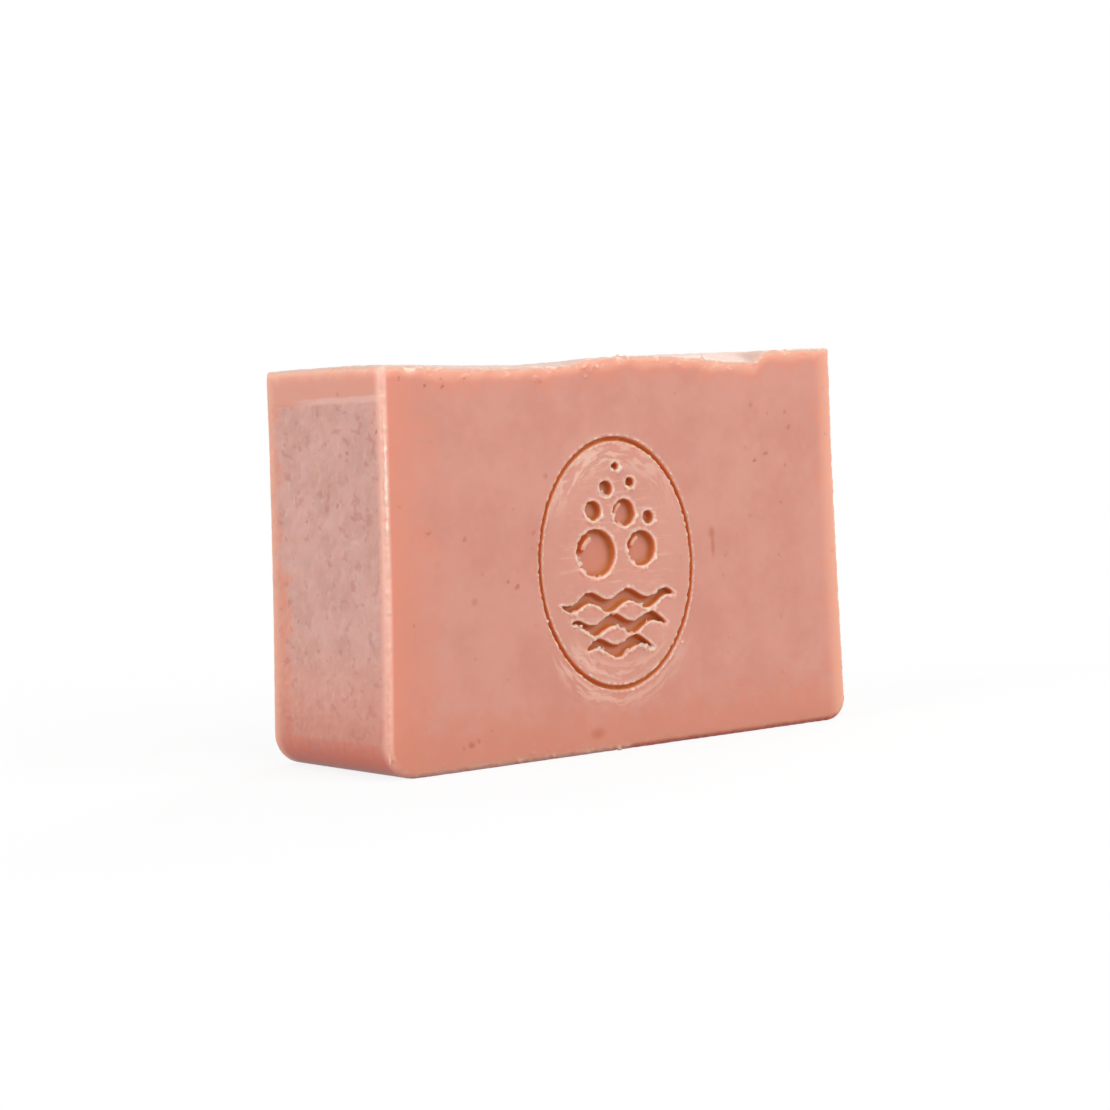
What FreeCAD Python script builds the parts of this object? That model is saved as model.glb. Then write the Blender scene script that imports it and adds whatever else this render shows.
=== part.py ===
import FreeCAD
import Part
import math
import os

# A bar of soap, sliced by hand from a poured loaf and pressed with a stamp.
# It stands on the long side that lay in the bottom of the mould: +X runs along the bar, +Y from the
# stamped cut face to the plain one, and +Z up to the poured crown. Places along the bar count from the middle
# of the foot's length, and at the end the bar is set with the middle of its whole length on the origin.

# Driving sizes of the slice, in millimetres. The crown lies a little to the right over the foot, and both
# sides are drawn in a little at half height, as the soap shrank in the mould.
foot_length = 74.5
crown_length = 72.3
crown_shift = 0.7
side_hollow = 0.27
bar_height = 50.4
bar_thickness = 27.5
left_mould_corner_radius = 4.1
right_mould_corner_radius = 3.0
shoulder_radius = 1.0
trimmed_edge = 0.6
trimmed_crown_edge = 0.25

# Dips of the poured crown, deepest at the stamped face: the place along the bar there, the depth, how far the
# dip reaches to the left and to the right, how far it runs in towards the plain face, and how far it drifts
# along the bar for each millimetre that it runs in
crown_dips = [
    {"place": -20.2, "depth": 0.68, "left": 16.0, "right": 16.9, "inward": 200.0, "drift": 1.3},
    {"place": -7.9, "depth": 0.6, "left": 16.6, "right": 2.4, "inward": 2.6, "drift": 0.0},
    {"place": 22.75, "depth": 1.43, "left": 10.7, "right": 1.7, "inward": 2.6, "drift": 0.0},
]
crown_along_stations = 93
crown_across_stations = 19

# The nick that the wire left in the edge between the crown and the stamped face
nick_place = -31.1
nick_width = 2.4
nick_depth = 1.4
nick_inward = 4.0

# The stamp: its middle on the stamped face, the oval line round it and the draft of its walls
stamp_place = -1.2
stamp_height = 23.9
oval_half_width = 12.15
oval_half_height = 15.9
oval_line_width = 0.55
oval_line_depth = 0.8
motif_depth = 1.1
stamp_draft_deg = 9.0

# Bubbles of the motif, each with its middle from the stamp's middle and its radius
bubbles = [
    {"along": -3.3, "up": 1.5, "radius": 3.1},
    {"along": 4.0, "up": 1.7, "radius": 2.3},
    {"along": 1.4, "up": 6.4, "radius": 1.8},
    {"along": -3.5, "up": 6.9, "radius": 1.3},
    {"along": 5.3, "up": 5.6, "radius": 0.9},
    {"along": -1.3, "up": 9.6, "radius": 1.05},
    {"along": 2.6, "up": 10.2, "radius": 0.7},
    {"along": 0.3, "up": 12.4, "radius": 0.55},
]
glint_least_radius = 1.5
glint_inner = 0.52
glint_outer = 0.74
glint_start_deg = 108.0
glint_end_deg = 166.0

# Waves of the motif, each with its middle below the stamp's middle, its half length and its place in the swell
waves = [
    {"down": 4.7, "half_length": 9.2, "swell_start": 0.0},
    {"down": 7.7, "half_length": 7.7, "swell_start": 2.6},
    {"down": 10.6, "half_length": 5.4, "swell_start": 5.2},
]
wave_length = 6.2
wave_rise = 0.6
wave_width = 1.7
wave_stations = 25

# How far the cutting shapes stand out of the soap, so that no two faces lie on each other
overshoot = 0.5

half_thickness = bar_thickness / 2
stamped_face = -half_thickness
plain_face = half_thickness
draft = math.tan(math.radians(stamp_draft_deg))


def crown_height(x, y):
    """The height of the poured crown over a point of the foot."""
    inward = max(y - stamped_face, 0.0)
    height = bar_height
    for dip in crown_dips:
        away = x - dip["place"] - dip["drift"] * inward
        reach = dip["left"] if away < 0 else dip["right"]
        height -= dip["depth"] * math.exp(-((away / reach) ** 2) - (inward / dip["inward"]) ** 2)
    return height


def even_steps(start, end, count):
    """Places from start to end, with the same distance between them."""
    return [start + (end - start) * i / (count - 1) for i in range(count)]


def side_point(side, height):
    """A point of the left (-1) or the right (1) side in the stamped face: leaning in, and hollow half way."""
    share = height / bar_height
    half_length = foot_length / 2 + (crown_length - foot_length) / 2 * share
    half_length -= side_hollow * 4 * share * (1 - share)
    return FreeCAD.Vector(side * half_length + crown_shift * share, stamped_face, height)


def slice_blank():
    """The slice as the wires leave it, up to above the crown."""
    blank_height = bar_height + 2 * overshoot

    def side_line(side):
        return Part.Arc(*[side_point(side, height) for height in even_steps(0, blank_height, 3)]).toShape()

    foot_line = Part.LineSegment(side_point(-1, 0), side_point(1, 0)).toShape()
    top_line = Part.LineSegment(side_point(1, blank_height), side_point(-1, blank_height)).toShape()
    outline = Part.Wire([foot_line, side_line(1), top_line, side_line(-1)])
    return Part.Face(outline).extrude(FreeCAD.Vector(0, bar_thickness, 0))


def places_along_crown():
    """Even places along the bar that reach past both of its sides at the crown."""
    reach = max(foot_length, crown_length) / 2 + crown_shift + 2 * overshoot
    return even_steps(-reach, reach, crown_along_stations)


def above_crown():
    """What lies over the poured crown: a smooth sheet through its heights, drawn upwards."""
    across = even_steps(stamped_face - overshoot, plain_face + overshoot, crown_across_stations)
    rows = [[FreeCAD.Vector(x, y, crown_height(x, y)) for y in across] for x in places_along_crown()]
    sheet = Part.BSplineSurface()
    sheet.interpolate(rows)
    return sheet.toShape().extrude(FreeCAD.Vector(0, 0, bar_height))


def edges_along_bar_thickness(shape, low, high, side):
    """The long edges between the two cut faces on the left (-1) or right (1), with their height from low to high."""
    return [
        edge
        for edge in shape.Edges
        if edge.BoundBox.YLength > bar_thickness / 2
        and low <= edge.CenterOfMass.z <= high
        and edge.CenterOfMass.x * side > foot_length / 4
    ]


def edges_in_face(shape, y):
    """The edges that lie in the cut face at y."""
    return [
        edge
        for edge in shape.Edges
        if abs(edge.BoundBox.YMin - y) < 1e-4 and abs(edge.BoundBox.YMax - y) < 1e-4
    ]


def above_crown_edge(face, inward):
    """What the trimming takes off the edge between the crown and one cut face. Inward is 1 or -1 along Y."""

    def line(y, rise):
        curve = Part.BSplineCurve()
        curve.interpolate([FreeCAD.Vector(x, y, crown_height(x, face) + rise) for x in places_along_crown()])
        return curve.toShape()

    low = line(face - inward * overshoot, -trimmed_crown_edge - overshoot)
    high = line(face + inward * (trimmed_crown_edge + overshoot), overshoot)
    return Part.makeRuledSurface(low, high).extrude(FreeCAD.Vector(0, 0, bar_height))


def bar_body():
    """The slice with the rounded corners of the mould, trimmed cut edges and its poured crown."""
    body = slice_blank()
    body = body.makeFillet(left_mould_corner_radius, edges_along_bar_thickness(body, -1.0, 1.0, -1))
    body = body.makeFillet(right_mould_corner_radius, edges_along_bar_thickness(body, -1.0, 1.0, 1))
    outlines = edges_in_face(body, stamped_face) + edges_in_face(body, plain_face)
    body = body.makeChamfer(trimmed_edge, outlines)
    body = body.cut(above_crown())
    body = body.cut(above_crown_edge(stamped_face, 1))
    body = body.cut(above_crown_edge(plain_face, -1))
    shoulders = []
    for side in (-1, 1):
        shoulders += edges_along_bar_thickness(body, bar_height / 2, bar_height, side)
    return body.makeFillet(shoulder_radius, shoulders)


def pressed(outline, depth):
    """A tapered punch: outline(grow) is its closed line, grown by that much, and it shrinks as it goes in."""
    mouth = outline(overshoot * draft)
    floor = outline(-depth * draft)
    mouth.translate(FreeCAD.Vector(stamp_place, stamped_face - overshoot, stamp_height))
    floor.translate(FreeCAD.Vector(stamp_place, stamped_face + depth, stamp_height))
    return Part.makeLoft([mouth, floor], True, True)


def circle_line(middle, radius):
    """A circle in the stamped face."""
    return Part.Wire(Part.Circle(middle, FreeCAD.Vector(0, -1, 0), radius).toShape())


def oval_line(half_width, half_height):
    """An upright oval in the stamped face, about the stamp's middle."""
    top = FreeCAD.Vector(0, 0, half_height)
    side = FreeCAD.Vector(half_width, 0, 0)
    return Part.Wire(Part.Ellipse(top, side, FreeCAD.Vector(0, 0, 0)).toShape())


def oval_groove():
    """The thin line round the motif: an oval punch less the island inside it."""
    half_line = oval_line_width / 2
    outer = pressed(
        lambda grow: oval_line(oval_half_width + half_line + grow, oval_half_height + half_line + grow),
        oval_line_depth,
    )
    island = pressed(
        lambda grow: oval_line(oval_half_width - half_line - grow, oval_half_height - half_line - grow),
        oval_line_depth,
    )
    return outer.cut(island)


def glint_line(middle, radius, grow):
    """The curved glint inside a bubble: a short band of a ring with square ends."""
    inner = radius * glint_inner - grow
    outer = radius * glint_outer + grow
    turn = grow / (radius * (glint_inner + glint_outer) / 2)
    start = math.radians(glint_start_deg) - turn
    end = math.radians(glint_end_deg) + turn

    def at(distance, angle):
        return middle + FreeCAD.Vector(distance * math.cos(angle), 0, distance * math.sin(angle))

    half_way = (start + end) / 2
    return Part.Wire(
        [
            Part.Arc(at(outer, start), at(outer, half_way), at(outer, end)).toShape(),
            Part.LineSegment(at(outer, end), at(inner, end)).toShape(),
            Part.Arc(at(inner, end), at(inner, half_way), at(inner, start)).toShape(),
            Part.LineSegment(at(inner, start), at(outer, start)).toShape(),
        ]
    )


def bubble_pocket(bubble):
    """One round pocket. A large one keeps a curved glint standing in it."""
    middle = FreeCAD.Vector(bubble["along"], 0, bubble["up"])
    radius = bubble["radius"]
    pocket = pressed(lambda grow: circle_line(middle, radius + grow), motif_depth)
    if radius < glint_least_radius:
        return pocket
    glint = pressed(lambda grow: glint_line(middle, radius, -grow), motif_depth + overshoot)
    return pocket.cut(glint)


def wave_line(wave, grow):
    """A wave's closed line: two swelling edges that meet in a point at each end."""
    half_length = wave["half_length"] + grow
    half_width = wave_width / 2 + grow

    def edge_of_wave(side):
        points = []
        for share in even_steps(-1.0, 1.0, wave_stations):
            x = half_length * share
            swell = wave_rise * math.sin(2 * math.pi * (x + wave["swell_start"]) / wave_length)
            half_here = half_width * math.sqrt(max(1.0 - share * share, 0.0))
            points.append(FreeCAD.Vector(x, 0, swell - wave["down"] + side * half_here))
        curve = Part.BSplineCurve()
        curve.interpolate(points)
        return curve.toShape()

    return Part.Wire([edge_of_wave(1), edge_of_wave(-1)])


def wave_pocket(wave):
    """One wave of the water under the bubbles."""
    return pressed(lambda grow: wave_line(wave, grow), motif_depth)


def crown_nick():
    """The nick: a three-cornered chip that runs out inwards."""
    top = crown_height(nick_place, stamped_face) + overshoot
    tip = top - overshoot - nick_depth
    half_top = nick_width / 2 * (nick_depth + overshoot) / nick_depth
    outer = stamped_face - overshoot
    corners = [
        FreeCAD.Vector(nick_place - half_top, outer, top),
        FreeCAD.Vector(nick_place + half_top, outer, top),
        FreeCAD.Vector(nick_place, outer, tip),
    ]
    mouth = Part.makePolygon(corners + corners[:1])
    run_out = Part.Vertex(FreeCAD.Vector(nick_place, stamped_face + nick_inward, top))
    return Part.makeLoft([mouth, run_out], True, True)


def soap_bar():
    """The whole bar: one solid piece of soap."""
    bar = bar_body().cut(crown_nick())
    pockets = [oval_groove()]
    pockets += [bubble_pocket(bubble) for bubble in bubbles]
    pockets += [wave_pocket(wave) for wave in waves]
    for pocket in pockets:
        bar = bar.cut(pocket)
    bar.translate(FreeCAD.Vector(-bar.BoundBox.Center.x, 0, 0))
    return bar


os.makedirs("parts", exist_ok=True)
bar = soap_bar()
bar.exportStep("parts/soap_bar.step")
print("soap_bar", "solids", len(bar.Solids), "valid", bar.isValid(), "volume_cm3", round(bar.Volume / 1000, 2))
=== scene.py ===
import math
import random

import bpy
import numpy as np
from bpy.props import FloatProperty, FloatVectorProperty, IntProperty, PointerProperty
from mathutils import Matrix, Vector


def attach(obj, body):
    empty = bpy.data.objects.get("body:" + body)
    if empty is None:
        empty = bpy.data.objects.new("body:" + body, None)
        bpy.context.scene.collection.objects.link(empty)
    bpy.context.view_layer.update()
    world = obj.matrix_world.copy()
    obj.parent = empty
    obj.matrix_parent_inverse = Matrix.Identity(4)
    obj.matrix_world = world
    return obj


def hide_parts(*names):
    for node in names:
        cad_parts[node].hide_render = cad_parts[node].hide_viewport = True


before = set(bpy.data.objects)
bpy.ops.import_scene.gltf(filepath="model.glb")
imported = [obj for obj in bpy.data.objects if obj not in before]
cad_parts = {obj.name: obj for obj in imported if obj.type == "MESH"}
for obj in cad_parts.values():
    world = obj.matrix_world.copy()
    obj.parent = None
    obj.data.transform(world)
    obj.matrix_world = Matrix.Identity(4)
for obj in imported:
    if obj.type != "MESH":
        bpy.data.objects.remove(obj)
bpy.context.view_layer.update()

bl_info = {
    "name": "Hand-cut soap bar",
    "version": (1, 0, 0),
    "blender": (4, 5, 0),
    "location": "View3D > Sidebar > Soap",
    "description": "Dresses a stamped bar of soap and its studio",
    "category": "Object",
}

MM = 0.001

# The bar, in millimetres, as its solid has it
FRONT = -13.75
BACK = 13.75
FOOT_HALF = 37.25
CROWN_HALF = 36.15
CROWN_SHIFT = 0.7
SIDE_HOLLOW = 0.27
MIDDLE = -0.07
TOP = 50.4
CORNER = 4.1
# Dips of the crown: place, depth, reach to the left and right, reach inwards, drift on the way in
DIPS = (
    (-20.27, 0.68, 16.0, 16.9, 200.0, 1.3),
    (-7.97, 0.6, 16.6, 2.4, 2.6, 0.0),
    (22.68, 1.43, 10.7, 1.7, 2.6, 0.0),
)
NICK = -31.17
STAMP_X = -1.27
STAMP_Z = 23.9
OVAL_X = 12.15
OVAL_Z = 15.9
BUBBLES = (
    (-3.3, 1.5, 3.1),
    (4.0, 1.7, 2.3),
    (1.4, 6.4, 1.8),
    (-3.5, 6.9, 1.3),
    (5.3, 5.6, 0.9),
    (-1.3, 9.6, 1.05),
    (2.6, 10.2, 0.7),
    (0.3, 12.4, 0.55),
)
WAVES = ((4.7, 9.2, 0.0), (7.7, 7.7, 2.6), (10.6, 5.4, 5.2))
WAVE_LENGTH = 6.2
WAVE_RISE = 0.6
WAVE_WIDTH = 1.7
# The plainest specks of the front face: place, height, radius and darkness
SPECKS = (
    (-33.0, 48.4, 0.2, 0.8),
    (-29.4, 47.4, 0.24, 0.9),
    (-26.7, 47.3, 0.26, 0.7),
    (-26.9, 48.2, 0.2, 0.45),
    (-23.5, 48.1, 0.22, 0.45),
    (-29.9, 29.5, 0.34, 0.5),
    (-24.6, 28.4, 0.36, 0.5),
    (-18.5, 22.7, 0.3, 0.6),
    (-17.0, 22.1, 0.32, 0.7),
    (-23.6, 20.7, 0.5, 0.3),
    (-22.2, 24.0, 0.26, 0.4),
    (-32.6, 18.5, 0.26, 0.5),
    (-11.9, 35.6, 0.42, 0.35),
    (-14.2, 28.6, 0.3, 0.4),
    (22.2, 43.3, 0.4, 0.4),
    (25.0, 42.0, 0.28, 0.35),
    (28.0, 42.0, 0.36, 0.4),
    (28.6, 40.0, 0.32, 0.55),
    (21.0, 37.7, 0.26, 0.4),
    (24.4, 36.7, 0.36, 0.6),
    (22.5, 35.9, 0.3, 0.7),
    (27.7, 35.0, 0.28, 0.55),
    (26.7, 30.1, 0.26, 0.6),
    (16.7, 23.8, 0.3, 0.45),
    (25.9, 23.1, 0.28, 0.4),
    (-25.0, 3.2, 0.5, 0.6),
    (-24.0, 3.6, 0.35, 0.5),
    (-26.2, 3.0, 0.3, 0.4),
)


# ---- settings ----


class SoapBarSettings(bpy.types.PropertyGroup):
    voxel: FloatProperty(
        name="Grain of the mesh", description="Edge of a voxel, in millimetres", default=0.17, min=0.1, max=1.0
    )
    triangles: IntProperty(
        name="Triangles", description="Triangles that the finished bar keeps", default=185000, min=20000
    )
    undulation: FloatProperty(
        name="Undulation", description="Slow swell of the cut faces, in millimetres", default=0.1, min=0.0
    )
    pits: FloatProperty(
        name="Pits", description="Depth of the pits in the mould sides, in millimetres", default=0.13, min=0.0
    )
    ragged: FloatProperty(
        name="Ragged edges", description="How far the cut edges wander, in millimetres", default=0.4, min=0.0
    )
    lips: FloatProperty(
        name="Lips", description="Height of the lips round the stamp's pockets, in millimetres", default=0.24, min=0.0
    )
    seed: IntProperty(name="Seed", description="Start of the random placing of crumbs", default=7)


class SoapFinishSettings(bpy.types.PropertyGroup):
    body_colour: FloatVectorProperty(
        name="Soap", description="Colour of the cut faces", subtype="COLOR", size=3, default=(0.70, 0.34, 0.268)
    )
    # Painted light: the deeper orange near the cut edges stands in for light scattered through the soap
    edge_scatter_colour: FloatVectorProperty(
        name="Edges", description="Colour near the cut edges", subtype="COLOR", size=3, default=(0.75, 0.31, 0.215)
    )
    # Painted glow of light coming through the thin rims
    rim_glow_colour: FloatVectorProperty(
        name="Rims", description="Colour of the thin rims", subtype="COLOR", size=3, default=(0.86, 0.49, 0.36)
    )
    # Partly a real bloom, partly a painted reflection of the soft light on the mould sides
    bloom_and_reflection_colour: FloatVectorProperty(
        name="Bloom", description="Pale bloom of the mould sides", subtype="COLOR", size=3, default=(0.7, 0.405, 0.35)
    )
    pale_colour: FloatVectorProperty(
        name="Crumbs", description="Colour of crumbs, lips and scuffs", subtype="COLOR", size=3,
        default=(0.86, 0.56, 0.45)
    )
    # Painted shade and bounced light down the stamp's pocket walls
    pocket_shade_colour: FloatVectorProperty(
        name="Pocket walls", description="Colour of the walls down in the stamp", subtype="COLOR", size=3,
        default=(0.6, 0.19, 0.05)
    )
    speck_colour: FloatVectorProperty(
        name="Specks", description="Colour of the clay specks", subtype="COLOR", size=3, default=(0.44, 0.13, 0.08)
    )


class StageSettings(bpy.types.PropertyGroup):
    lens: FloatProperty(name="Lens", description="Focal length, in millimetres", default=87.36)
    key: FloatProperty(name="Key light", description="Power of the large front light", subtype="POWER", default=5.3)
    side: FloatProperty(name="Side light", description="Power of the light on the left", subtype="POWER", default=3.1)
    rim: FloatProperty(name="Rim light", description="Power of the light behind", subtype="POWER", default=2.2)
    sky: FloatProperty(name="Sky", description="Strength of the light from all round", default=0.6)


# ---- modelling ----


def only(piece):
    """Selects one object alone and makes it active."""
    if bpy.context.object and bpy.context.object.mode != "OBJECT":
        bpy.ops.object.mode_set(mode="OBJECT")
    bpy.ops.object.select_all(action="DESELECT")
    piece.select_set(True)
    bpy.context.view_layer.objects.active = piece


def join(piece, others):
    """Joins the others into the piece."""
    only(piece)
    for other in others:
        other.select_set(True)
    bpy.ops.object.join()


def points_of(mesh):
    """All corners of a mesh, as an array."""
    flat = np.empty(len(mesh.vertices) * 3, np.float32)
    mesh.vertices.foreach_get("co", flat)
    return flat.reshape(-1, 3).astype(float)


def smooth(value, low, high):
    """Goes softly from 0 at low to 1 at high."""
    share = np.clip((value - low) / (high - low), 0, 1)
    return share * share * (3 - 2 * share)


def half_length(z):
    """Half the bar's length at height z."""
    share = z / TOP
    return FOOT_HALF + (CROWN_HALF - FOOT_HALF) * share - SIDE_HOLLOW * 4 * share * (1 - share)


def middle(z):
    """Middle of the bar's length at height z."""
    return MIDDLE + CROWN_SHIFT * z / TOP


def crown_height(x, y):
    """Height of the poured crown."""
    inward = np.maximum(y - FRONT, 0)
    height = TOP
    for place, depth, left, right, inner, drift in DIPS:
        away = x - place - drift * inward
        reach = np.where(away < 0, left, right)
        height = height - depth * np.exp(-((away / reach) ** 2) - (inward / inner) ** 2)
    return height


def wave_middle(wave, share):
    """Middle of a wave at a share of its half length, from the stamp's middle."""
    down, half, start = wave
    x = half * share
    return x, WAVE_RISE * np.sin(2 * np.pi * (x + start) / WAVE_LENGTH) - down


def outside_pockets(x, z):
    """Distance of a point of the front face from the nearest pocket, groove included, and less than 0 in it."""
    x, z = x - STAMP_X, z - STAMP_Z
    away = np.abs(np.hypot(x / OVAL_X, z / OVAL_Z) - 1) * 13.8 - 0.3
    for along, up, radius in BUBBLES:
        away = np.minimum(away, np.hypot(x - along, z - up) - radius)
    for wave in WAVES:
        share = np.clip(x / wave[1], -1, 1)
        half = WAVE_WIDTH / 2 * np.sqrt(1 - share * share)
        away = np.minimum(away, np.hypot(np.abs(z - wave_middle(wave, share)[1]), x - share * wave[1]) - half)
    return away


def crease_distance(points):
    """Distance of each point from the nearest long edge of the bar, in millimetres."""
    x, y, z = points.T
    side = np.abs(half_length(z) - np.abs(x - middle(z)))
    corner = CORNER - np.hypot(np.maximum(CORNER - side, 0), np.maximum(CORNER - z, 0))
    outline = np.where((side < CORNER) & (z < CORNER), np.abs(corner), side)
    to_face = np.minimum(np.abs(y - FRONT), np.abs(y - BACK))
    to_top = np.abs(crown_height(x, y) - z)
    return np.minimum.reduce([
        np.hypot(outline, to_face), np.hypot(to_top, to_face), np.hypot(z, to_face), np.hypot(side, to_top)
    ])


def group_of(piece, name, weights):
    """A vertex group with these weights."""
    group = piece.vertex_groups.new(name=name)
    levels = np.round(np.clip(weights, 0, 1) * 20).astype(int)
    for level in range(1, 21):
        chosen = np.nonzero(levels == level)[0]
        if len(chosen):
            group.add(chosen.tolist(), level / 20, "REPLACE")
    return group.name


def displace(piece, name, kind, size, strength, group, mid=0.5, **more):
    """Moves the surface along its normals by a procedural texture."""
    texture = bpy.data.textures.new(name, kind)
    texture.noise_scale = size
    for key, value in more.items():
        setattr(texture, key, value)
    only(piece)
    modifier = piece.modifiers.new(name, "DISPLACE")
    modifier.texture = texture
    modifier.texture_coords = "LOCAL"
    modifier.strength = strength
    modifier.mid_level = mid
    modifier.vertex_group = group
    bpy.ops.object.modifier_apply(modifier=modifier.name)
    bpy.data.textures.remove(texture)


def drawn_out(path, radii, name, flat=1.0):
    """A strip of soap: a small ring, extruded from point to point. Flat narrows it along Y."""
    bpy.ops.object.select_all(action="DESELECT")
    bpy.ops.mesh.primitive_circle_add(vertices=8, radius=radii[0], fill_type="NGON", location=path[0])
    piece = bpy.context.object
    piece.name = name
    bpy.ops.object.transform_apply(location=True, rotation=True, scale=True)
    bpy.ops.object.mode_set(mode="EDIT")
    bpy.ops.mesh.select_all(action="SELECT")
    bpy.ops.transform.resize(value=(1, flat, 1), center_override=path[0])
    here, width = Vector(path[0]), radii[0]
    for point, radius in zip(path[1:], radii[1:]):
        bpy.ops.mesh.extrude_region_move(TRANSFORM_OT_translate={"value": Vector(point) - here})
        bpy.ops.transform.resize(value=(radius / width,) * 3, center_override=point)
        here, width = Vector(point), radius
    bpy.ops.mesh.select_all(action="SELECT")
    bpy.ops.mesh.normals_make_consistent(inside=False)
    bpy.ops.object.mode_set(mode="OBJECT")
    return piece


def lump():
    """One crumb: a ball with a flattened back, a drawn-out end and a dent."""
    bpy.ops.object.select_all(action="DESELECT")
    bpy.ops.mesh.primitive_ico_sphere_add(subdivisions=2, radius=1)
    piece = bpy.context.object
    piece.name = "crumb"
    for chosen, move in (
        (lambda co: co.x > 0.5, (0.55, 0.0, -0.1)),
        (lambda co: co.x < -0.6, (0.15, 0.1, 0.3)),
        (lambda co: co.z > 0.7, (0.1, 0.0, -0.35)),
    ):
        for vertex in piece.data.vertices:
            vertex.select = chosen(vertex.co)
        bpy.ops.object.mode_set(mode="EDIT")
        bpy.ops.transform.translate(value=move)
        bpy.ops.object.mode_set(mode="OBJECT")
    return piece


def curl():
    """One shaving: a strip that winds round by about half a turn and runs out thin at both ends."""
    path, radii = [], []
    for step in range(11):
        share = step / 10
        angle = math.radians(200 * share)
        reach = 1 - 0.35 * share
        path.append((reach * math.cos(angle), 0.35 * math.sin(3 * share), reach * math.sin(angle)))
        radii.append(0.12 + 0.2 * math.sin(math.pi * share))
    return drawn_out(path, radii, "shaving")


def laid(source, place, size, turn):
    """A copy of a crumb, with its own mesh, at its place, size and turn."""
    piece = source.copy()
    piece.data = source.data.copy()
    bpy.context.scene.collection.objects.link(piece)
    piece.location, piece.scale, piece.rotation_euler = place, size, turn
    return piece


def loose_soap(chance):
    """Crumbs, shavings and fins that stick to the cut edges and to the lower edges of the stamp."""
    ball, shaving = lump(), curl()
    pieces = []

    def put(x, y, z, least, most, flat=0.6, long=1.5):
        size = chance.uniform(least, most)
        stretch = (size * chance.uniform(0.8, long), size * flat, size * chance.uniform(0.6, 1.1))
        turn = (chance.uniform(-0.5, 0.5), chance.uniform(-0.6, 0.6), chance.uniform(-0.4, 0.4))
        pieces.append(laid(ball, (x, y, z), stretch, turn))

    def wind(x, y, z, size):
        turn = (chance.uniform(-0.5, 0.5), chance.uniform(-3, 3), chance.uniform(-0.5, 0.5))
        pieces.append(laid(shaving, (x, y, z), (size * chance.uniform(1, 1.7), size, size * 0.8), turn))

    # Along the top edge
    for x, low in ((1.5, 0.2), (14.7, 0.35), (22.4, 0.15), (28.2, 0.5), (-6.6, 1.6), (-4.2, 1.2), (-12.0, 1.3)):
        for _ in range(4):
            at = x + chance.gauss(0, 0.8)
            put(at, FRONT + 0.04 + 0.1 * low, crown_height(at, FRONT) - low + chance.gauss(0, 0.35), 0.12, 0.3, 0.5, 2.6)
        wind(x, FRONT + 0.05, crown_height(x, FRONT) - low, chance.uniform(0.5, 0.8))
    for _ in range(34):
        at = chance.uniform(-34, 35)
        put(at, FRONT + 0.08, crown_height(at, FRONT) - 0.4 + chance.gauss(0, 0.15), 0.15, 0.3)
    # Along the foot's edge
    for x, z in ((-16.3, 1.1), (-7.8, 0.6), (1.0, 0.6), (-12.8, 0.7), (-19.4, 0.7), (-3.6, 0.6)):
        for _ in range(5):
            put(x + chance.gauss(0, 0.9), FRONT + 0.12, z + chance.gauss(0, 0.15), 0.18, 0.4)
    # Round the pockets of the stamp, more of them at the lower edges
    for along, up, radius in BUBBLES:
        for _ in range(int(4 + radius * 8)):
            angle = math.radians(chance.uniform(185, 355))
            out = radius + chance.uniform(-0.08, 0.35)
            put(STAMP_X + along + out * math.cos(angle), FRONT + 0.03, STAMP_Z + up + out * math.sin(angle),
                0.14, 0.34, 0.7)
        if radius > 1.0:
            angle = math.radians(chance.uniform(230, 310))
            wind(STAMP_X + along + radius * math.cos(angle), FRONT, STAMP_Z + up + radius * math.sin(angle), 0.6)
    for wave in WAVES:
        for _ in range(int(wave[1] * 5)):
            share = chance.uniform(-0.97, 0.97)
            x, z = wave_middle(wave, share)
            edge = WAVE_WIDTH / 2 * math.sqrt(1 - share * share)
            put(STAMP_X + x, FRONT + 0.03, STAMP_Z + z - edge - chance.uniform(-0.1, 0.35), 0.14, 0.34, 0.7, 1.9)
        for share in (chance.uniform(-0.8, -0.1), chance.uniform(0.1, 0.8)):
            x, z = wave_middle(wave, share)
            wind(STAMP_X + x, FRONT, STAMP_Z + z - WAVE_WIDTH / 2, 0.55)
    for _ in range(70):
        angle = math.radians(chance.choice((chance.uniform(-80, 60), chance.uniform(200, 330))))
        out = 1 + chance.uniform(0.03, 0.05)
        put(STAMP_X + OVAL_X * out * math.cos(angle), FRONT + 0.05, STAMP_Z + OVAL_Z * out * math.sin(angle),
            0.12, 0.22, 0.7)

    # The fin along the upper part of the left edge, and the thin ridge under it
    path, radii = [], []
    for step in range(76):
        z = 45.6 - step * 0.288
        bulge = math.sin(math.pi * min(1.0, (step + 2) / 78))
        x = middle(z) - half_length(z) + 0.38 + chance.gauss(0, 0.03)
        path.append((x, FRONT + 0.2 - 0.14 * bulge, z))
        radii.append(0.12 + 0.16 * bulge * chance.uniform(0.4, 1.4))
    pieces.append(drawn_out(path, radii, "fin_high", 0.6))
    path, radii = [], []
    for step in range(70):
        z = 24.2 - step * 0.32
        path.append((middle(z) - half_length(z) + 0.3 + chance.gauss(0, 0.04), FRONT + 0.22, z))
        radii.append(0.13 * chance.uniform(0.6, 1.3))
    pieces.append(drawn_out(path, radii, "fin_low"))
    bpy.data.objects.remove(ball)
    bpy.data.objects.remove(shaving)
    return pieces


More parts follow.
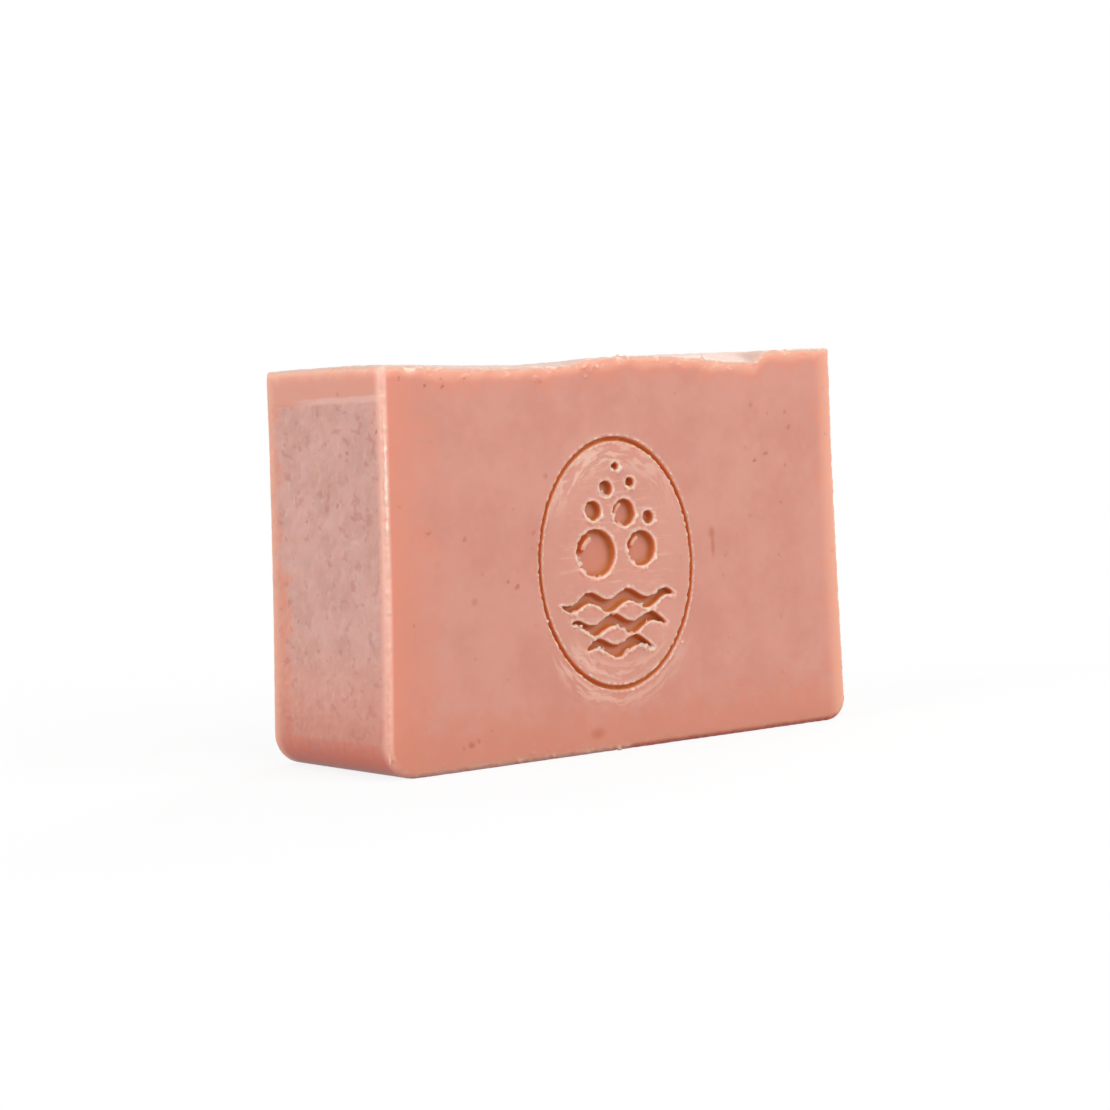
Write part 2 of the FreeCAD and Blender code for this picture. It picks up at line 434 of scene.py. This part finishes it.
class SOAP_OT_bar(bpy.types.Operator):
    """Makes the visible bar: the solid's copy with lips, crumbs, pits and ragged cut edges"""
    bl_idname = "soap.bar"
    bl_label = "Bar"

    def execute(self, context):
        sizes = context.scene.soap_bar
        chance = random.Random(sizes.seed)
        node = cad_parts["soap_bar"]
        bar = bpy.data.objects.new("poured_soap", node.data.copy())
        context.scene.collection.objects.link(bar)
        only(bar)
        bpy.ops.object.mode_set(mode="EDIT")
        bpy.ops.mesh.select_all(action="SELECT")
        bpy.ops.mesh.remove_doubles(threshold=0.000001)
        bpy.ops.transform.resize(value=(1 / MM,) * 3, center_override=(0, 0, 0))
        bpy.ops.object.mode_set(mode="OBJECT")

        join(bar, loose_soap(chance))
        remesh = bar.modifiers.new("grain", "REMESH")
        remesh.mode = "VOXEL"
        remesh.voxel_size = sizes.voxel
        bpy.ops.object.modifier_apply(modifier=remesh.name)

        points = points_of(bar.data)
        x, y, z = points.T
        near_edge = crease_distance(points)
        to_side = half_length(z) - np.abs(x - middle(z))
        mould = smooth(-to_side, -0.5, -0.1) * (1 - smooth(z, 45.6, 46.2)) * smooth(near_edge, 0.5, 1.4)
        in_oval = ((x - STAMP_X) / (OVAL_X + 1)) ** 2 + ((z - STAMP_Z) / (OVAL_Z + 1)) ** 2 < 1
        stamped = (in_oval & (y < FRONT + 2)).astype(float)
        outside = outside_pockets(x, z)
        lips = smooth(outside, -0.05, 0.05) * (1 - smooth(outside, 0.1, 0.45)) * (y < FRONT + 0.12) * in_oval
        to_crown = crown_height(x, y) - z

        groups = {
            "swell": group_of(bar, "swell", smooth(z, 0.0, 1.5) * (1 - 0.7 * stamped)),
            "pits": group_of(bar, "pits", mould),
            "cut": group_of(bar, "cut", (1 - smooth(near_edge, 0.25, 0.9)) * (0.35 + 0.65 * (y < 0))),
            "stamp": group_of(bar, "stamp", stamped),
            "lips": group_of(bar, "lips", lips),
            "crown": group_of(bar, "crown", (1 - smooth(to_crown, 0.1, 0.3)) * smooth(near_edge, 0.4, 1.0)),
        }
        displace(bar, "swell", "CLOUDS", 9.0, sizes.undulation, groups["swell"])
        displace(bar, "lips", "CLOUDS", 0.6, sizes.lips, groups["lips"], 0.1, noise_depth=1, contrast=1.6)
        displace(bar, "ragged", "CLOUDS", 0.9, sizes.ragged, groups["cut"], 0.55, noise_depth=3)
        displace(bar, "stamp", "CLOUDS", 0.5, 0.07, groups["stamp"], noise_depth=2)
        displace(bar, "crown", "CLOUDS", 2.6, 0.3, groups["crown"], 0.55, noise_depth=3)
        displace(bar, "pits", "CLOUDS", 1.5, sizes.pits, groups["pits"], 0.62, noise_depth=2, contrast=2.0)
        for name in groups.values():
            bar.vertex_groups.remove(bar.vertex_groups[name])

        thin = bar.modifiers.new("thin", "DECIMATE")
        thin.ratio = min(1.0, sizes.triangles / (2 * len(bar.data.polygons)))
        only(bar)
        bpy.ops.object.modifier_apply(modifier=thin.name)

        flat = points_of(bar.data)
        flat[:, 2] = np.maximum(flat[:, 2], 0)
        bar.data.vertices.foreach_set("co", (flat * MM).astype(np.float32).ravel())
        bar.data.update()
        bpy.ops.object.shade_smooth_by_angle(angle=math.radians(50))
        bar.data.materials.clear()
        bar.data.materials.append(soap_finish(context.scene.soap_finish))
        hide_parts("soap_bar")
        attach(bar, "root")
        return {"FINISHED"}


# ---- finishes ----


class Recipe:
    """Short ways to lay the nodes of one finish."""

    def __init__(self, name):
        self.material = bpy.data.materials.new(name)
        self.material.use_nodes = True
        self.tree = self.material.node_tree
        self.tree.nodes.clear()

    def add(self, kind, **settings):
        node = self.tree.nodes.new(kind)
        for key, value in settings.items():
            setattr(node, key, value)
        return node

    def feed(self, socket, value):
        """Links a socket to another, or sets its value."""
        if isinstance(value, bpy.types.NodeSocket):
            self.tree.links.new(value, socket)
        else:
            socket.default_value = value

    def math(self, operation, first, second=0.0, clamp=False):
        node = self.add("ShaderNodeMath", operation=operation, use_clamp=clamp)
        self.feed(node.inputs[0], first)
        self.feed(node.inputs[1], second)
        return node.outputs[0]

    def chain(self, operation, values):
        result = values[0]
        for value in values[1:]:
            result = self.math(operation, result, value)
        return result

    def plus(self, *values):
        return self.chain("ADD", values)

    def times(self, *values):
        return self.chain("MULTIPLY", values)

    def least(self, *values):
        return self.chain("MINIMUM", values)

    def most(self, *values):
        return self.chain("MAXIMUM", values)

    def minus(self, first, second):
        return self.math("SUBTRACT", first, second)

    def far(self, first, second):
        """Length of the two sides of a right angle taken together."""
        return self.math("SQRT", self.plus(self.times(first, first), self.times(second, second)))

    def step(self, value, low, high, start=0.0, end=1.0):
        """Goes softly from start at low to end at high."""
        node = self.add("ShaderNodeMapRange", interpolation_type="SMOOTHSTEP")
        for socket, given in zip(node.inputs[:5], (value, low, high, start, end)):
            self.feed(socket, given)
        return node.outputs[0]

    def mix(self, share, first, second):
        node = self.add("ShaderNodeMix", data_type="RGBA")
        self.feed(node.inputs["Factor"], share)
        self.feed(node.inputs[6], first)
        self.feed(node.inputs[7], second)
        return node.outputs[2]

    def joined(self, x, y, z):
        node = self.add("ShaderNodeCombineXYZ")
        for socket, value in zip(node.inputs, (x, y, z)):
            self.feed(socket, value)
        return node.outputs[0]

    def parted(self, vector):
        node = self.add("ShaderNodeSeparateXYZ")
        self.feed(node.inputs[0], vector)
        return node.outputs

    def stretched(self, place, scale, turn=(0, 0, 0)):
        node = self.add("ShaderNodeMapping")
        self.feed(node.inputs["Vector"], place)
        node.inputs["Scale"].default_value = scale
        node.inputs["Rotation"].default_value = turn
        return node.outputs[0]

    def noise(self, place, scale, detail=2.0, rough=0.5):
        node = self.add("ShaderNodeTexNoise")
        self.feed(node.inputs["Vector"], place)
        node.inputs["Scale"].default_value = scale
        node.inputs["Detail"].default_value = detail
        node.inputs["Roughness"].default_value = rough
        return node.outputs["Fac"]

    def cells(self, place, scale, feature="F1"):
        node = self.add("ShaderNodeTexVoronoi", feature=feature)
        self.feed(node.inputs["Vector"], place)
        node.inputs["Scale"].default_value = scale
        return node.outputs["Distance"], node.outputs["Color"]


def rgba(colour):
    return (colour[0], colour[1], colour[2], 1.0)


def crown_nodes(r, x, inward):
    """Height of the poured crown, as nodes."""
    height = TOP
    for place, depth, left, right, inner, drift in DIPS:
        away = r.plus(x, -place, r.times(inward, -drift))
        reach = r.plus(r.times(r.math("GREATER_THAN", away, 0.0), right - left), left)
        along, across = r.math("DIVIDE", away, reach), r.math("DIVIDE", inward, inner)
        fall = r.math("EXPONENT", r.times(r.plus(r.times(along, along), r.times(across, across)), -1.0))
        height = r.plus(height, r.times(fall, -depth))
    return height


def pocket_nodes(r, along, up):
    """Distance from the nearest bubble or wave of the stamp, as nodes, and less than 0 in it."""
    away = None
    for middle_x, middle_z, radius in BUBBLES:
        here = r.minus(r.far(r.plus(along, -middle_x), r.plus(up, -middle_z)), radius)
        away = here if away is None else r.least(away, here)
    for down, half, start in WAVES:
        share = r.least(r.most(r.times(along, 1 / half), -1.0), 1.0)
        swell = r.math("SINE", r.times(r.plus(r.times(share, half), start), 2 * math.pi / WAVE_LENGTH))
        middle_z = r.plus(r.times(swell, WAVE_RISE), -down)
        width = r.times(r.math("SQRT", r.plus(r.times(share, share, -1.0), 1.0)), WAVE_WIDTH / 2)
        here = r.minus(r.far(r.minus(up, middle_z), r.minus(along, r.times(share, half))), width)
        away = r.least(away, here)
    return away


def soap_finish(colours):
    """Cut, moulded and stamped soap, told apart by their places on the bar."""
    r = Recipe("poured_clay_soap")
    here = r.add("ShaderNodeTexCoord").outputs["Object"]
    scaled = r.add("ShaderNodeVectorMath", operation="SCALE")
    r.feed(scaled.inputs[0], here)
    scaled.inputs["Scale"].default_value = 1 / MM
    place = scaled.outputs[0]
    x, y, z = r.parted(place)

    # Where on the bar: how far in from its two sides, its two cut faces, its crown and its edges
    share = r.times(z, 1 / TOP)
    half = r.plus(r.times(share, CROWN_HALF - FOOT_HALF), r.times(share, r.plus(share, -1.0), 4 * SIDE_HOLLOW),
                  FOOT_HALF)
    from_middle = r.plus(x, -MIDDLE, r.times(share, -CROWN_SHIFT))
    to_left = r.plus(half, from_middle)
    to_right = r.minus(half, from_middle)
    to_side = r.least(to_left, to_right)
    to_front = r.minus(y, FRONT)
    to_back = r.minus(BACK, y)
    to_face = r.least(to_front, to_back)
    to_top = r.minus(crown_nodes(r, x, r.most(to_front, 0.0)), z)
    rounded = r.far(r.most(r.minus(CORNER, to_side), 0.0), r.most(r.minus(CORNER, z), 0.0))
    to_outline = r.minus(CORNER, rounded)
    on_side = r.times(r.step(to_side, 0.5, 0.15), r.step(to_top, 0.5, 0.8))
    on_side = r.most(on_side, r.times(r.step(to_outline, 0.5, 0.15), r.step(z, 4.2, 4.0)))
    on_front = r.step(to_front, 0.5, 0.2)
    on_crown = r.step(to_top, 0.5, 0.3)
    along, up = r.plus(x, -STAMP_X), r.plus(z, -STAMP_Z)
    oval = r.far(r.times(along, 1 / OVAL_X), r.times(up, 1 / OVAL_Z))
    in_stamp = r.times(r.step(oval, 1.1, 1.06), r.step(to_front, 2.5, 2.2))
    pocket = pocket_nodes(r, along, up)
    groove = r.plus(r.times(r.math("ABSOLUTE", r.plus(oval, -1.0)), 13.8), -0.3)

    # Cut faces: slow clouds, and a painted warmth towards the edges that stands in for light scattered through the thin
    # soap there
    wander = r.noise(place, 0.35, 3)
    jag = r.step(wander, 0.3, 0.7, -1.0, 1.0)
    colour = r.mix(r.step(r.noise(place, 0.13, 3, 0.6), 0.35, 0.68), rgba(colours.body_colour),
                   (0.66, 0.3, 0.232, 1))
    colour = r.mix(r.step(r.noise(place, 0.7, 4, 0.65), 0.45, 0.8, 0, 0.3), colour, (0.72, 0.37, 0.3, 1))
    smudge = r.step(r.noise(r.stretched(place, (1, 1, 0.8), (0.4, 1.1, 0)), 0.3, 2), 0.66, 0.8, 0, 0.3)
    colour = r.mix(smudge, colour, (0.62, 0.235, 0.17, 1))
    # Painted warmth of light scattered through the soap near the left, right and top edges
    wide = r.most(
        r.step(r.plus(to_left, r.times(jag, 1.5)), 10.5, 1.5),
        r.step(r.plus(to_right, jag), 4.5, 0.8),
        r.step(r.plus(to_top, jag), 4.0, 0.6),
    )
    colour = r.mix(r.times(wide, 0.85), colour, rgba(colours.edge_scatter_colour))
    # Painted shade: the cut faces turn darker and redder towards the foot, where the edge curves under and less light
    # reaches
    colour = r.mix(r.step(r.plus(z, r.times(jag, 1.5)), 10.0, 1.5, 0, 0.8), colour, (0.69, 0.275, 0.185, 1))

    # Mould sides: a pale mottled bloom, partly real and partly a painted reflection of the soft light, that stops at
    # the pour line and short of the plain face and fades towards the foot
    mottle = r.noise(r.stretched(place, (1, 0.6, 0.8)), 0.4, 2, 0.5)
    spots = r.noise(r.stretched(place, (1, 0.65, 0.85), (0.3, 0, 0)), 0.9, 2, 0.5)
    curves = r.math("ABSOLUTE", r.plus(r.noise(r.stretched(place, (1, 1, 0.8), (0.6, 0, 0)), 0.55, 2, 0.5), -0.5))
    under_line = r.times(on_side, r.step(z, 46.0, 45.6))
    limit = r.step(z, 23.5, 28.0, 9.6, 11.4)
    past = r.minus(r.plus(y, r.times(jag, 1.2)), limit)
    bloom_and_reflection = r.times(under_line, r.step(past, 1.2, -1.6), r.step(z, 4.2, 20.0, 0.3, 1.0), r.step(z, 3.9, 4.6),
                    r.step(to_front, 0.5, 1.9))
    # Painted shade: the mould sides turn darker and redder towards the foot, where the fillet faces down away from the
    # light
    colour = r.mix(r.times(on_side, r.step(z, 12.0, 3.0)), colour, (0.64, 0.225, 0.15, 1))
    colour = r.mix(r.times(on_side, r.step(z, 4.8, 0.4)), colour, (0.66, 0.115, 0.05, 1))
    bloom_and_reflection_tone = r.mix(r.step(mottle, 0.36, 0.64), (0.63, 0.35, 0.295, 1), rgba(colours.bloom_and_reflection_colour))
    bloom_and_reflection_tone = r.mix(r.step(r.noise(place, 0.5, 3, 0.6), 0.5, 0.72, 0, 0.7), bloom_and_reflection_tone, (0.72, 0.46, 0.405, 1))
    colour = r.mix(r.times(bloom_and_reflection, 0.9), colour, bloom_and_reflection_tone)
    # Painted shade: darker spots in the pits of the mould sides, where the bump sinks
    spot = r.times(under_line, r.step(spots, 0.55, 0.7))
    colour = r.mix(r.times(spot, 0.45), colour, (0.52, 0.2, 0.17, 1))
    thread = r.times(under_line, r.step(curves, 0.016, 0.004), r.step(wander, 0.54, 0.66), r.step(z, 5.0, 9.0))
    colour = r.mix(r.times(thread, 0.3), colour, (0.8, 0.5, 0.4, 1))
    band = r.step(r.math("ABSOLUTE", r.plus(z, r.times(jag, 0.08), -46.15)), 0.6, 0.15)
    line = r.times(r.step(to_side, 0.5, 0.15), band, r.step(y, 9.0, 0.0))
    colour = r.mix(r.times(on_side, r.step(z, 45.8, 46.4, 0, 0.4)), colour, (0.76, 0.4, 0.31, 1))
    colour = r.mix(r.times(line, 0.85), colour, (0.79, 0.49, 0.425, 1))

    # Painted shade along the lowest edge of the foot, where it turns under towards the floor
    colour = r.mix(r.step(z, 0.75, 0.2, 0, 0.8), colour, (0.6, 0.13, 0.07, 1))

    # Painted glow: light rims on the crown's edge, the right edge and the back of the sides, where thin soap lets light
    # through from behind
    rim = r.most(r.step(r.plus(to_top, r.times(jag, 0.3)), 2.0, 0.4), r.times(r.step(to_right, 3.6, 0.5), r.step(to_face, 0.5, 0.2)),
                 r.times(on_side, r.step(to_back, 3.0, 0.4)))
    colour = r.mix(r.times(rim, 0.8), colour, rgba(colours.rim_glow_colour))
    # Paler crown: partly a real pale bloom on the poured top, partly a painted sheen of light grazing it
    colour = r.mix(r.times(on_crown, 0.85), colour, (0.61, 0.43, 0.365, 1))

    # Scuffs left by the stamp, that follow the oval inside its two ends and under it
    polar = r.joined(r.times(r.math("ARCTAN2", up, along), 4.0), r.plus(r.times(oval, 17.0), r.times(wander, 1.6)), 0.0)
    streak = r.noise(polar, 1.0, 3, 0.6)
    high = r.times(r.step(oval, 0.72, 0.86), r.step(oval, 0.975, 0.95), r.step(up, 5.0, 12.0))
    low = r.times(r.step(oval, 0.76, 0.86), r.step(oval, 0.96, 0.93), r.step(up, -8.0, -12.0, 0, 0.7))
    below = r.times(r.step(oval, 1.03, 1.07), r.step(oval, 1.22, 1.1), r.step(up, -9.0, -14.0, 0, 0.7))
    scuff = r.times(on_front, r.plus(high, low, below), r.step(streak, 0.45, 0.57))
    drag = r.noise(r.stretched(place, (0.22, 1, 2.2)), 0.9, 3, 0.6)
    across = r.times(on_front, r.step(oval, 0.85, 0.6), r.step(drag, 0.54, 0.7, 0, 0.4))
    colour = r.mix(r.times(on_front, r.step(oval, 0.99, 0.96, 0, 0.25)), colour, (0.76, 0.4, 0.31, 1))
    colour = r.mix(r.most(r.times(scuff, r.step(along, 6.0, -6.0, 0.55, 0.95)), across), colour, rgba(colours.pale_colour))

    # Down in the stamp: deeper orange walls, groove and floors, painted as the shade and the light bounced inside the
    # pockets; and the pale lips round its pockets
    ragged = r.noise(place, 1.6, 3, 0.6)
    wall_shade = r.times(in_stamp, r.step(to_front, 0.06, 0.3))
    floor = r.times(in_stamp, r.step(to_front, 0.92, 1.06), r.step(pocket, -0.2, -1.1))
    colour = r.mix(wall_shade, colour, rgba(colours.pocket_shade_colour))
    colour = r.mix(r.times(wall_shade, r.step(groove, 0.15, 0.0)), colour, (0.66, 0.235, 0.065, 1))
    # Floors a deeper orange: painted light bounced inside the pockets
    colour = r.mix(r.times(floor, 0.92), colour, (0.7, 0.285, 0.205, 1))
    edge = r.times(r.step(pocket, r.step(ragged, 0.35, 0.65, 0.25, 0.9), 0.08), r.step(pocket, -0.05, 0.05))
    halo = r.times(r.step(groove, 0.45, 0.1), r.step(groove, -0.05, 0.08), r.step(ragged, 0.45, 0.6, 0.05, 0.75))
    lip = r.times(on_front, r.step(to_front, 0.1, 0.02), r.most(edge, halo))
    colour = r.mix(r.times(lip, 0.8), colour, rgba(colours.pale_colour))

    # Pale flakes along the cut top edge
    flakes = r.noise(r.stretched(place, (0.5, 1, 1.3)), 1.1, 3, 0.6)
    flake = r.times(on_front, r.step(to_top, 1.7, 0.5), r.step(flakes, 0.56, 0.64), r.step(x, -32.0, -28.0, 0.2, 1.0))
    colour = r.mix(r.times(flake, 0.75), colour, (0.9, 0.62, 0.48, 1))

    # Crumbs and shavings that stand out of the front face, a painted highlight along the pale rounded corner, and the
    # fin on it
    proud = r.step(to_front, -0.08, -0.18)
    colour = r.mix(r.times(proud, r.step(ragged, 0.3, 0.6, 0.35, 0.8)), colour, (0.9, 0.64, 0.52, 1))
    # Painted highlight along the rounded front-left corner
    corner_highlight = r.times(r.step(to_outline, 0.95, 0.4), r.step(to_front, 1.9, 0.3), r.step(x, 0.0, -1.0),
                        r.step(z, 4.0, 26.0, 0.55, 0.85))
    colour = r.mix(corner_highlight, colour, (0.86, 0.55, 0.46, 1))
    fin = r.times(r.step(r.plus(to_front, to_left), 0.42, 0.2), r.step(z, 24.0, 24.8), r.step(z, 46.6, 45.6))
    colour = r.mix(r.times(fin, 0.9), colour, (0.9, 0.68, 0.57, 1))
    nick = r.times(r.step(r.math("ABSOLUTE", r.plus(x, -NICK)), 1.35, 1.1), r.step(to_front, 0.05, 0.2),
                   r.step(to_front, 4.2, 3.6), r.step(to_top, 0.15, 0.35), r.step(to_top, 1.8, 1.5))
    colour = r.mix(r.times(nick, 0.9), colour, (0.93, 0.76, 0.62, 1))

    # Specks of clay: many faint ones anywhere, and the plainest ones in their places
    wobble = r.step(r.noise(place, 2.2, 2), 0.2, 0.8, -0.22, 0.22)
    spread, kind = r.cells(place, 0.42)
    kinds = r.add("ShaderNodeSeparateColor")
    r.feed(kinds.inputs[0], kind)
    width = r.plus(r.step(kinds.outputs[0], 0.25, 1.0, -0.02, 0.11), r.times(wobble, 0.3))
    speck = r.times(r.step(r.minus(spread, width), 0.05, -0.05), r.step(kinds.outputs[1], 0.0, 1.0, 0.15, 0.6))
    for at, height, radius, dark in SPECKS:
        spot = r.step(r.far(r.plus(x, -at, wobble), r.plus(z, -height, wobble)), radius * 1.3, radius * 0.3, 0, dark)
        speck = r.most(speck, r.times(spot, on_front))
    colour = r.mix(r.times(speck, r.step(pocket, -0.1, 0.3)), colour, rgba(colours.speck_colour))
    for at, height, wide, high in ((-5.6, 2.5, 1.3, 0.8), (14.5, 26.8, 0.65, 0.9), (14.6, 25.0, 0.4, 1.5)):
        off = r.far(r.times(r.plus(x, -at), 1 / wide), r.times(r.plus(z, -height), 1 / high))
        colour = r.mix(r.times(r.step(off, 1.3, 0.1, 0, 0.6), on_front), colour, (0.52, 0.14, 0.06, 1))

    # Relief too fine for the mesh
    fine = r.noise(place, 2.4, 5, 0.65)
    relief = r.plus(r.times(fine, 0.4), r.times(r.noise(r.stretched(place, (0.25, 1, 3.0)), 0.8, 3, 0.6), 0.3),
                    r.times(under_line, r.minus(r.times(mottle, 1.2), r.times(spot, 0.6))))
    bump = r.add("ShaderNodeBump")
    bump.inputs["Strength"].default_value = 0.3
    bump.inputs["Distance"].default_value = 0.00012
    r.feed(bump.inputs["Height"], relief)

    surface = r.add("ShaderNodeBsdfPrincipled")
    r.feed(surface.inputs["Base Color"], colour)
    rough = r.plus(r.step(fine, 0.3, 0.75, 0.46, 0.58), r.times(on_side, -0.08))
    r.feed(surface.inputs["Roughness"], rough)
    r.feed(surface.inputs["Normal"], bump.outputs[0])
    surface.inputs["IOR"].default_value = 1.46
    surface.inputs["Subsurface Weight"].default_value = 0.9
    surface.inputs["Subsurface Radius"].default_value = (1.0, 0.42, 0.25)
    surface.inputs["Subsurface Scale"].default_value = 0.003
    out = r.add("ShaderNodeOutputMaterial")
    r.feed(out.inputs["Surface"], surface.outputs[0])
    return r.material


def background_share(recipe):
    """One where a ray from the camera, a gloss or a glass meets the background."""
    path = recipe.add("ShaderNodeLightPath")
    seen = recipe.math("ADD", path.outputs["Is Camera Ray"], path.outputs["Is Glossy Ray"])
    return recipe.math("ADD", seen, path.outputs["Is Transmission Ray"], clamp=True)


def paper_finish():
    """White studio paper that keeps a soft shadow, and turns to plain white away from the bar."""
    r = Recipe("studio_paper")
    here = r.add("ShaderNodeTexCoord").outputs["Object"]
    x, y, _ = r.parted(here)
    grain = r.noise(here, 60, 2)
    matt = r.add("ShaderNodeBsdfDiffuse")
    seen = r.mix(grain, (0.88, 0.88, 0.88, 1), (0.92, 0.92, 0.92, 1))
    lit = background_share(r)
    r.feed(matt.inputs["Color"], r.mix(lit, (0.45, 0.4, 0.38, 1), seen))
    glow = r.add("ShaderNodeEmission")
    glow.inputs["Strength"].default_value = 1.0
    both = r.add("ShaderNodeMixShader")
    r.feed(both.inputs[0], r.times(lit, r.step(r.far(x, y), 0.06, 0.3, 0.85, 1.0)))
    r.feed(both.inputs[1], matt.outputs[0])
    r.feed(both.inputs[2], glow.outputs[0])
    out = r.add("ShaderNodeOutputMaterial")
    r.feed(out.inputs["Surface"], both.outputs[0])
    return r.material


def room_light(strength):
    """Even light from all round, with a white background."""
    world = bpy.data.worlds.new("white_room")
    world.use_nodes = True
    r = Recipe.__new__(Recipe)
    r.tree = world.node_tree
    r.tree.nodes.clear()
    sky = r.add("ShaderNodeBackground")
    sky.inputs["Color"].default_value = (1, 1, 1, 1)
    r.feed(sky.inputs["Strength"], r.plus(r.times(background_share(r), 1.0 - strength), strength))
    out = r.add("ShaderNodeOutputWorld")
    r.feed(out.inputs["Surface"], sky.outputs[0])
    return world


# ---- stage ----


def aim(thing, target):
    """Turns a lamp to its target."""
    thing.rotation_euler = (Vector(target) - thing.location).to_track_quat("-Z", "Y").to_euler()


def soft_light(name, place, target, size, power):
    """A large soft lamp."""
    data = bpy.data.lights.new(name, "AREA")
    data.shape = "RECTANGLE"
    data.size, data.size_y = size
    data.energy = power
    lamp = bpy.data.objects.new(name, data)
    bpy.context.scene.collection.objects.link(lamp)
    lamp.location = place
    aim(lamp, target)
    return lamp


class SOAP_OT_stage(bpy.types.Operator):
    """Sets the floor, the soft lights and the camera"""
    bl_idname = "soap.stage"
    bl_label = "Stage"

    def execute(self, context):
        scene = context.scene
        stage = scene.soap_stage
        bpy.ops.object.select_all(action="DESELECT")
        bpy.ops.mesh.primitive_plane_add(size=6, location=(0, 0, 0))
        floor = context.object
        floor.name = "studio_floor"
        floor.data.materials.append(paper_finish())

        target = (0, 0, 0.025)
        soft_light("key", (0.15, -0.8, 0.5), target, (0.9, 0.8), stage.key)
        soft_light("side", (-0.8, -0.1, 0.4), target, (0.5, 0.5), stage.side)
        soft_light("rim", (0.65, 0.35, 0.35), target, (0.4, 0.4), stage.rim)
        scene.world = room_light(stage.sky)

        data = bpy.data.cameras.new("camera")
        data.lens = stage.lens
        data.sensor_width = 36
        camera = bpy.data.objects.new("camera", data)
        scene.collection.objects.link(camera)
        right = Vector((0.80517662, -0.5910961, -0.04791669))
        above = Vector((0.07008224, 0.01460816, 0.99743425))
        back = Vector((-0.58887953, -0.80646884, 0.05318749))
        turn = Matrix((right, above, back)).transposed()
        camera.matrix_world = Matrix.Translation((-0.209834, -0.28601, 0.0436)) @ turn.to_4x4()
        scene.camera = camera
        scene.view_settings.view_transform = "Standard"
        return {"FINISHED"}


class SOAP_PT_panel(bpy.types.Panel):
    """Lists the steps and sizes of the soap"""
    bl_idname = "SOAP_PT_panel"
    bl_label = "Hand-cut soap"
    bl_space_type = "VIEW_3D"
    bl_region_type = "UI"
    bl_category = "Soap"

    def draw(self, context):
        for owner, names, operator in (
            ("soap_bar", ("voxel", "triangles", "undulation", "pits", "ragged", "lips", "seed"), "soap.bar"),
            ("soap_finish", ("body_colour", "edge_scatter_colour", "rim_glow_colour", "bloom_and_reflection_colour", "pale_colour",
                             "pocket_shade_colour", "speck_colour"), None),
            ("soap_stage", ("lens", "key", "side", "rim", "sky"), "soap.stage"),
        ):
            box = self.layout.box()
            for name in names:
                box.prop(getattr(context.scene, owner), name)
            if operator:
                box.operator(operator)


CLASSES = (SoapBarSettings, SoapFinishSettings, StageSettings, SOAP_OT_bar, SOAP_OT_stage, SOAP_PT_panel)


def register():
    for kind in CLASSES:
        bpy.utils.register_class(kind)
    bpy.types.Scene.soap_bar = PointerProperty(type=SoapBarSettings)
    bpy.types.Scene.soap_finish = PointerProperty(type=SoapFinishSettings)
    bpy.types.Scene.soap_stage = PointerProperty(type=StageSettings)


def unregister():
    del bpy.types.Scene.soap_stage
    del bpy.types.Scene.soap_finish
    del bpy.types.Scene.soap_bar
    for kind in reversed(CLASSES):
        bpy.utils.unregister_class(kind)


def main():
    register()
    bpy.ops.soap.bar()
    bpy.ops.soap.stage()


if __name__ == "__main__":
    main()
